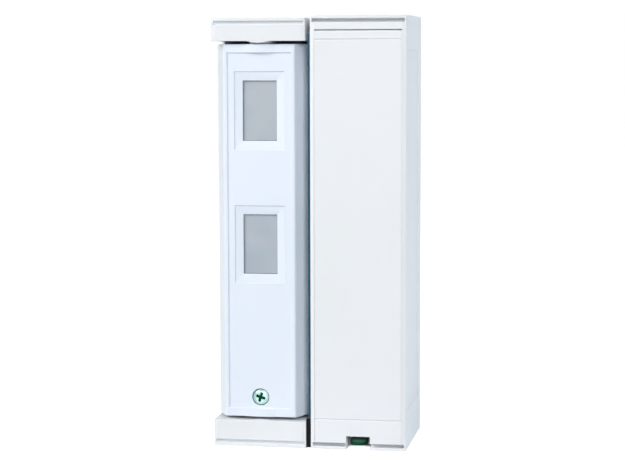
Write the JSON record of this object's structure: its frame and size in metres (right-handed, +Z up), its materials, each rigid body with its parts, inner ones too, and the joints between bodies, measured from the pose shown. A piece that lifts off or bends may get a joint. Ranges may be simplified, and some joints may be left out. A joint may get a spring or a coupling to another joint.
{
  "type": "wireless pir motion detector",
  "caption": "Outdoor wireless PIR motion detector: a panning head held between end caps, beside a battery box with a hooked front cover, on a shared wall plate.",
  "frame": {"origin": "centre of the footprint at the bottom rims", "axes": "+X to the right seen from the front, +Y back to the wall, +Z up; the front faces -Y"},
  "size_m": [0.0904, 0.056, 0.2],
  "materials": {
    "white_plastic": "fine matt",
    "head_plastic": "fine matt",
    "lens_plastic": "milky, slightly translucent",
    "board": "solder mask",
    "black_plastic": "matt",
    "steel": "zinc plated",
    "brass": "plated spring brass",
    "rubber": "moulded rubber",
    "cell_wrap": "shrink sleeve",
    "led": "clear tinted"
  },
  "bodies": {
    "housing": {"mounting_plate": "white_plastic", "unit_screws": "steel", "entry_grommet": "rubber", "detector_base": "white_plastic", "top_end_cap": "white_plastic", "bottom_end_cap": "white_plastic", "end_cap_screws": "steel", "pivot_bushes": "steel", "link_sleeve": "rubber", "box_tray": "white_plastic", "box_gasket": "rubber", "battery_holder": "black_plastic", "battery_cells": "cell_wrap", "battery_contacts": "brass", "transmitter_board": "board", "transmitter_parts": "steel", "antenna": "brass", "box_terminal_block": "board", "box_board_screws": "steel", "tamper_switch": "black_plastic"},
    "head": {"head_rear_shell": "head_plastic", "head_front_cover": "head_plastic", "upper_lens": "lens_plastic", "lower_lens": "lens_plastic", "head_gasket": "rubber", "head_board": "board", "head_board_screws": "steel", "upper_pir_sensor": "steel", "lower_pir_sensor": "steel", "upper_optic_chamber": "white_plastic", "lower_optic_chamber": "white_plastic", "dip_switch": "black_plastic", "head_terminal_block": "board", "status_led": "led"},
    "head_screw": {"head_cover_screw": "steel"},
    "dip_lever_a": {"dip_lever_1": "white_plastic"},
    "dip_lever_b": {"dip_lever_2": "white_plastic"},
    "dip_lever_c": {"dip_lever_3": "white_plastic"},
    "cover": {"box_cover": "white_plastic"},
    "lock_screw": {"cover_lock_screw": "steel"},
    "plunger": {"tamper_plunger": "steel"}
  },
  "joints": [
    {"name": "head_pan", "type": "hinge", "parent": "housing", "child": "head", "pos_m": [-0.0233, -0.013, 0.1], "axis": [0, 0, 1], "range_deg": [-45, 45]},
    {"name": "head_screw_turn", "type": "hinge", "parent": "head", "child": "head_screw", "pos_m": [-0.0233, -0.022, 0.0231], "axis": [0, -1, 0], "continuous": true},
    {"name": "cover_swing", "type": "hinge", "parent": "housing", "child": "cover", "pos_m": [0.023, -0.0275, 0.1926], "axis": [-1, 0, 0], "range_deg": [0, 30]},
    {"name": "lock_screw_turn", "type": "hinge", "parent": "housing", "child": "lock_screw", "pos_m": [0.023, -0.023, 0.003], "axis": [0, 0, -1], "continuous": true},
    {"name": "tamper_press", "type": "slide", "parent": "housing", "child": "plunger", "axis": [0, 1, 0], "range_m": [0, 0.0015], "stiffness_N_per_m": 200, "springref_m": -0.001},
    {"name": "dip_lever_a_slide", "type": "slide", "parent": "head", "child": "dip_lever_a", "axis": [0, 0, 1], "range_m": [0, 0.0016]},
    {"name": "dip_lever_b_slide", "type": "slide", "parent": "head", "child": "dip_lever_b", "axis": [0, 0, 1], "range_m": [0, 0.0016]},
    {"name": "dip_lever_c_slide", "type": "slide", "parent": "head", "child": "dip_lever_c", "axis": [0, 0, 1], "range_m": [0, 0.0016]}
  ]
}
